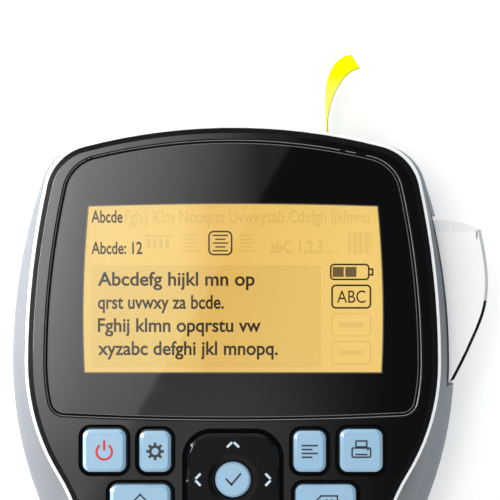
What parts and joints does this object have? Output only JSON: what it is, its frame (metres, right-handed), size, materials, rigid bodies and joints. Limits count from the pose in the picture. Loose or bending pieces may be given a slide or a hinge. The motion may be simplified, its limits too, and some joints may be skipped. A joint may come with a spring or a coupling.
{
  "type": "label maker",
  "caption": "Hand-held label maker with a large backlit display, alphabetical keys, a four-way pad, a side cutter lever, a tape cassette and a curled label coming out of its head",
  "frame": {"origin": "Centre of the middle rest pad, on the surface that the body lies on, in the body's plane of symmetry.", "axes": "+Z points out of the display, +Y towards the end where the label comes out, +X towards the cutter lever. The body lies on its back."},
  "size_m": [0.1258, 0.2305, 0.0473],
  "materials": {
    "rear_shell": "satin silver lacquer",
    "rim_trim": "bright",
    "front_cover": "high gloss",
    "display_lens": "clear window, printed black round the display",
    "lcd_module": "amber backlit display",
    "keypad_mat": "matt silicone",
    "main_board": "solder mask",
    "mechanism_frame": "moulded",
    "cassette_door": "satin",
    "battery_cover": "satin",
    "battery_pack": "sleeved",
    "cassette_case": "moulded",
    "tape_roll": "yellow tape",
    "ribbon_supply": "ink ribbon",
    "ribbon_spool": "ink ribbon",
    "label_tape": "yellow laminated tape",
    "print_head": "milled",
    "platen_roller": "ground rubber on a steel shaft",
    "idler_gear": "acetal",
    "spindle_gear": "acetal",
    "motor": "plated can",
    "motor_pinion": "cut",
    "cutter_lever": "satin silver lacquer",
    "cutter_blade": "ground",
    "screws": "zinc plated",
    "nav_pad": "high gloss",
    "key_ok": "gloss",
    "keys": "satin pale blue with printed legends"
  },
  "bodies": {
    "case": {"rear_shell": "rear_shell", "rim_trim": "rim_trim", "front_cover": "front_cover", "display_lens": "display_lens", "lcd_module": "lcd_module", "keypad_mat": "keypad_mat", "main_board": "main_board", "mechanism_frame": "mechanism_frame", "battery_pack": "battery_pack", "cassette_case": "cassette_case", "label_tape": "label_tape", "print_head": "print_head", "motor": "motor", "screws": "screws"},
    "cutter_lever": {"cutter_lever": "cutter_lever"},
    "cutter_blade": {"cutter_blade": "cutter_blade"},
    "cassette_door": {"cassette_door": "cassette_door"},
    "battery_cover": {"battery_cover": "battery_cover"},
    "idler_gear": {"idler_gear": "idler_gear"},
    "motor_pinion": {"motor_pinion": "motor_pinion"},
    "platen_roller": {"platen_roller": "platen_roller"},
    "ribbon_drive": {"spindle_gear": "spindle_gear", "ribbon_spool": "ribbon_spool"},
    "tape_roll": {"tape_roll": "tape_roll"},
    "ribbon_supply": {"ribbon_supply": "ribbon_supply"},
    "nav_pad": {"nav_pad": "nav_pad"},
    "key_ok": {"key_ok": "key_ok"},
    "key_power": {"key_power": "keys"},
    "key_settings": {"key_settings": "keys"},
    "key_format": {"key_format": "keys"},
    "key_print": {"key_print": "keys"},
    "key_caps": {"key_caps": "keys"},
    "key_backspace": {"key_backspace": "keys"},
    "key_space": {"key_space": "keys"},
    "key_a": {"key_a": "keys"},
    "key_b": {"key_b": "keys"},
    "key_c": {"key_c": "keys"},
    "key_d": {"key_d": "keys"},
    "key_e": {"key_e": "keys"},
    "key_f": {"key_f": "keys"},
    "key_g": {"key_g": "keys"},
    "key_h": {"key_h": "keys"},
    "key_i": {"key_i": "keys"},
    "key_j": {"key_j": "keys"},
    "key_k": {"key_k": "keys"},
    "key_l": {"key_l": "keys"},
    "key_m": {"key_m": "keys"},
    "key_n": {"key_n": "keys"},
    "key_o": {"key_o": "keys"},
    "key_p": {"key_p": "keys"},
    "key_q": {"key_q": "keys"},
    "key_r": {"key_r": "keys"},
    "key_s": {"key_s": "keys"},
    "key_t": {"key_t": "keys"},
    "key_u": {"key_u": "keys"},
    "key_v": {"key_v": "keys"},
    "key_w": {"key_w": "keys"},
    "key_x": {"key_x": "keys"},
    "key_y": {"key_y": "keys"},
    "key_z": {"key_z": "keys"}
  },
  "joints": [
    {"name": "lever_press", "type": "hinge", "parent": "case", "child": "cutter_lever", "pos_m": [0.05, 0.04, 0.022], "axis": [0, 0, 1], "range_deg": [0, 9], "stiffness_Nm_per_rad": 1.2, "springref_deg": -2.86},
    {"name": "blade_cut", "type": "slide", "parent": "case", "child": "cutter_blade", "axis": [-1, 0, 0], "range_m": [0, 0.0081]},
    {"name": "cassette_door_hinge", "type": "hinge", "parent": "case", "child": "cassette_door", "pos_m": [0.001, 0.085, 0.0024], "axis": [1, 0, 0], "range_deg": [0, 90]},
    {"name": "battery_cover_hinge", "type": "hinge", "parent": "case", "child": "battery_cover", "pos_m": [0, -0.086, 0.00295], "axis": [-1, 0, 0], "range_deg": [0, 70]},
    {"name": "gear_train", "type": "hinge", "parent": "case", "child": "idler_gear", "pos_m": [0.01897, 0.08499, 0.0307], "axis": [0, 0, 1], "continuous": true},
    {"name": "platen_spin", "type": "hinge", "parent": "case", "child": "platen_roller", "pos_m": [0.0303, 0.071, 0.02], "axis": [0, 0, 1], "continuous": true},
    {"name": "spindle_spin", "type": "hinge", "parent": "case", "child": "ribbon_drive", "pos_m": [0.009, 0.07, 0.02], "axis": [0, 0, 1], "continuous": true},
    {"name": "motor_spin", "type": "hinge", "parent": "case", "child": "motor_pinion", "pos_m": [0.00506, 0.08871, 0.025], "axis": [0, 0, 1], "continuous": true},
    {"name": "tape_unwind", "type": "hinge", "parent": "case", "child": "tape_roll", "pos_m": [0.012, 0.0485, 0.0145], "axis": [0, 0, 1], "continuous": true},
    {"name": "ribbon_unwind", "type": "hinge", "parent": "case", "child": "ribbon_supply", "pos_m": [-0.015, 0.056, 0.0145], "axis": [0, 0, 1], "continuous": true},
    {"name": "key_power_press", "type": "slide", "parent": "case", "child": "key_power", "axis": [0, 0, -1], "range_m": [0, 0.0008], "stiffness_N_per_m": 900},
    {"name": "key_settings_press", "type": "slide", "parent": "case", "child": "key_settings", "axis": [0, 0, -1], "range_m": [0, 0.0008], "stiffness_N_per_m": 900},
    {"name": "key_format_press", "type": "slide", "parent": "case", "child": "key_format", "axis": [0, 0, -1], "range_m": [0, 0.0008], "stiffness_N_per_m": 900},
    {"name": "key_print_press", "type": "slide", "parent": "case", "child": "key_print", "axis": [0, 0, -1], "range_m": [0, 0.0008], "stiffness_N_per_m": 900},
    {"name": "nav_pad_press", "type": "slide", "parent": "case", "child": "nav_pad", "axis": [0, 0, -1], "range_m": [0, 0.0006], "stiffness_N_per_m": 1500},
    {"name": "key_ok_press", "type": "slide", "parent": "case", "child": "key_ok", "axis": [0, 0, -1], "range_m": [0, 0.0008], "stiffness_N_per_m": 900},
    {"name": "key_caps_press", "type": "slide", "parent": "case", "child": "key_caps", "axis": [0, 0, -1], "range_m": [0, 0.0008], "stiffness_N_per_m": 900},
    {"name": "key_backspace_press", "type": "slide", "parent": "case", "child": "key_backspace", "axis": [0, 0, -1], "range_m": [0, 0.0008], "stiffness_N_per_m": 900},
    {"name": "key_space_press", "type": "slide", "parent": "case", "child": "key_space", "axis": [0, 0, -1], "range_m": [0, 0.0008], "stiffness_N_per_m": 900},
    {"name": "key_a_press", "type": "slide", "parent": "case", "child": "key_a", "axis": [0, 0, -1], "range_m": [0, 0.0008], "stiffness_N_per_m": 900},
    {"name": "key_b_press", "type": "slide", "parent": "case", "child": "key_b", "axis": [0, 0, -1], "range_m": [0, 0.0008], "stiffness_N_per_m": 900},
    {"name": "key_c_press", "type": "slide", "parent": "case", "child": "key_c", "axis": [0, 0, -1], "range_m": [0, 0.0008], "stiffness_N_per_m": 900},
    {"name": "key_d_press", "type": "slide", "parent": "case", "child": "key_d", "axis": [0, 0, -1], "range_m": [0, 0.0008], "stiffness_N_per_m": 900},
    {"name": "key_e_press", "type": "slide", "parent": "case", "child": "key_e", "axis": [0, 0, -1], "range_m": [0, 0.0008], "stiffness_N_per_m": 900},
    {"name": "key_f_press", "type": "slide", "parent": "case", "child": "key_f", "axis": [0, 0, -1], "range_m": [0, 0.0008], "stiffness_N_per_m": 900},
    {"name": "key_g_press", "type": "slide", "parent": "case", "child": "key_g", "axis": [0, 0, -1], "range_m": [0, 0.0008], "stiffness_N_per_m": 900},
    {"name": "key_h_press", "type": "slide", "parent": "case", "child": "key_h", "axis": [0, 0, -1], "range_m": [0, 0.0008], "stiffness_N_per_m": 900},
    {"name": "key_i_press", "type": "slide", "parent": "case", "child": "key_i", "axis": [0, 0, -1], "range_m": [0, 0.0008], "stiffness_N_per_m": 900},
    {"name": "key_j_press", "type": "slide", "parent": "case", "child": "key_j", "axis": [0, 0, -1], "range_m": [0, 0.0008], "stiffness_N_per_m": 900},
    {"name": "key_k_press", "type": "slide", "parent": "case", "child": "key_k", "axis": [0, 0, -1], "range_m": [0, 0.0008], "stiffness_N_per_m": 900},
    {"name": "key_l_press", "type": "slide", "parent": "case", "child": "key_l", "axis": [0, 0, -1], "range_m": [0, 0.0008], "stiffness_N_per_m": 900},
    {"name": "key_m_press", "type": "slide", "parent": "case", "child": "key_m", "axis": [0, 0, -1], "range_m": [0, 0.0008], "stiffness_N_per_m": 900},
    {"name": "key_n_press", "type": "slide", "parent": "case", "child": "key_n", "axis": [0, 0, -1], "range_m": [0, 0.0008], "stiffness_N_per_m": 900},
    {"name": "key_o_press", "type": "slide", "parent": "case", "child": "key_o", "axis": [0, 0, -1], "range_m": [0, 0.0008], "stiffness_N_per_m": 900},
    {"name": "key_p_press", "type": "slide", "parent": "case", "child": "key_p", "axis": [0, 0, -1], "range_m": [0, 0.0008], "stiffness_N_per_m": 900},
    {"name": "key_q_press", "type": "slide", "parent": "case", "child": "key_q", "axis": [0, 0, -1], "range_m": [0, 0.0008], "stiffness_N_per_m": 900},
    {"name": "key_r_press", "type": "slide", "parent": "case", "child": "key_r", "axis": [0, 0, -1], "range_m": [0, 0.0008], "stiffness_N_per_m": 900},
    {"name": "key_s_press", "type": "slide", "parent": "case", "child": "key_s", "axis": [0, 0, -1], "range_m": [0, 0.0008], "stiffness_N_per_m": 900},
    {"name": "key_t_press", "type": "slide", "parent": "case", "child": "key_t", "axis": [0, 0, -1], "range_m": [0, 0.0008], "stiffness_N_per_m": 900},
    {"name": "key_u_press", "type": "slide", "parent": "case", "child": "key_u", "axis": [0, 0, -1], "range_m": [0, 0.0008], "stiffness_N_per_m": 900},
    {"name": "key_v_press", "type": "slide", "parent": "case", "child": "key_v", "axis": [0, 0, -1], "range_m": [0, 0.0008], "stiffness_N_per_m": 900},
    {"name": "key_w_press", "type": "slide", "parent": "case", "child": "key_w", "axis": [0, 0, -1], "range_m": [0, 0.0008], "stiffness_N_per_m": 900},
    {"name": "key_x_press", "type": "slide", "parent": "case", "child": "key_x", "axis": [0, 0, -1], "range_m": [0, 0.0008], "stiffness_N_per_m": 900},
    {"name": "key_y_press", "type": "slide", "parent": "case", "child": "key_y", "axis": [0, 0, -1], "range_m": [0, 0.0008], "stiffness_N_per_m": 900},
    {"name": "key_z_press", "type": "slide", "parent": "case", "child": "key_z", "axis": [0, 0, -1], "range_m": [0, 0.0008], "stiffness_N_per_m": 900}
  ],
  "couplings": [
    {"joint": "blade_cut", "follows": "lever_press", "m_per_rad": 0.05065},
    {"joint": "motor_spin", "follows": "gear_train", "ratio": -3},
    {"joint": "platen_spin", "follows": "gear_train", "ratio": -1.5},
    {"joint": "spindle_spin", "follows": "gear_train", "ratio": -1.5},
    {"joint": "tape_unwind", "follows": "gear_train", "ratio": 0.5906},
    {"joint": "ribbon_unwind", "follows": "gear_train", "ratio": -0.7429}
  ]
}
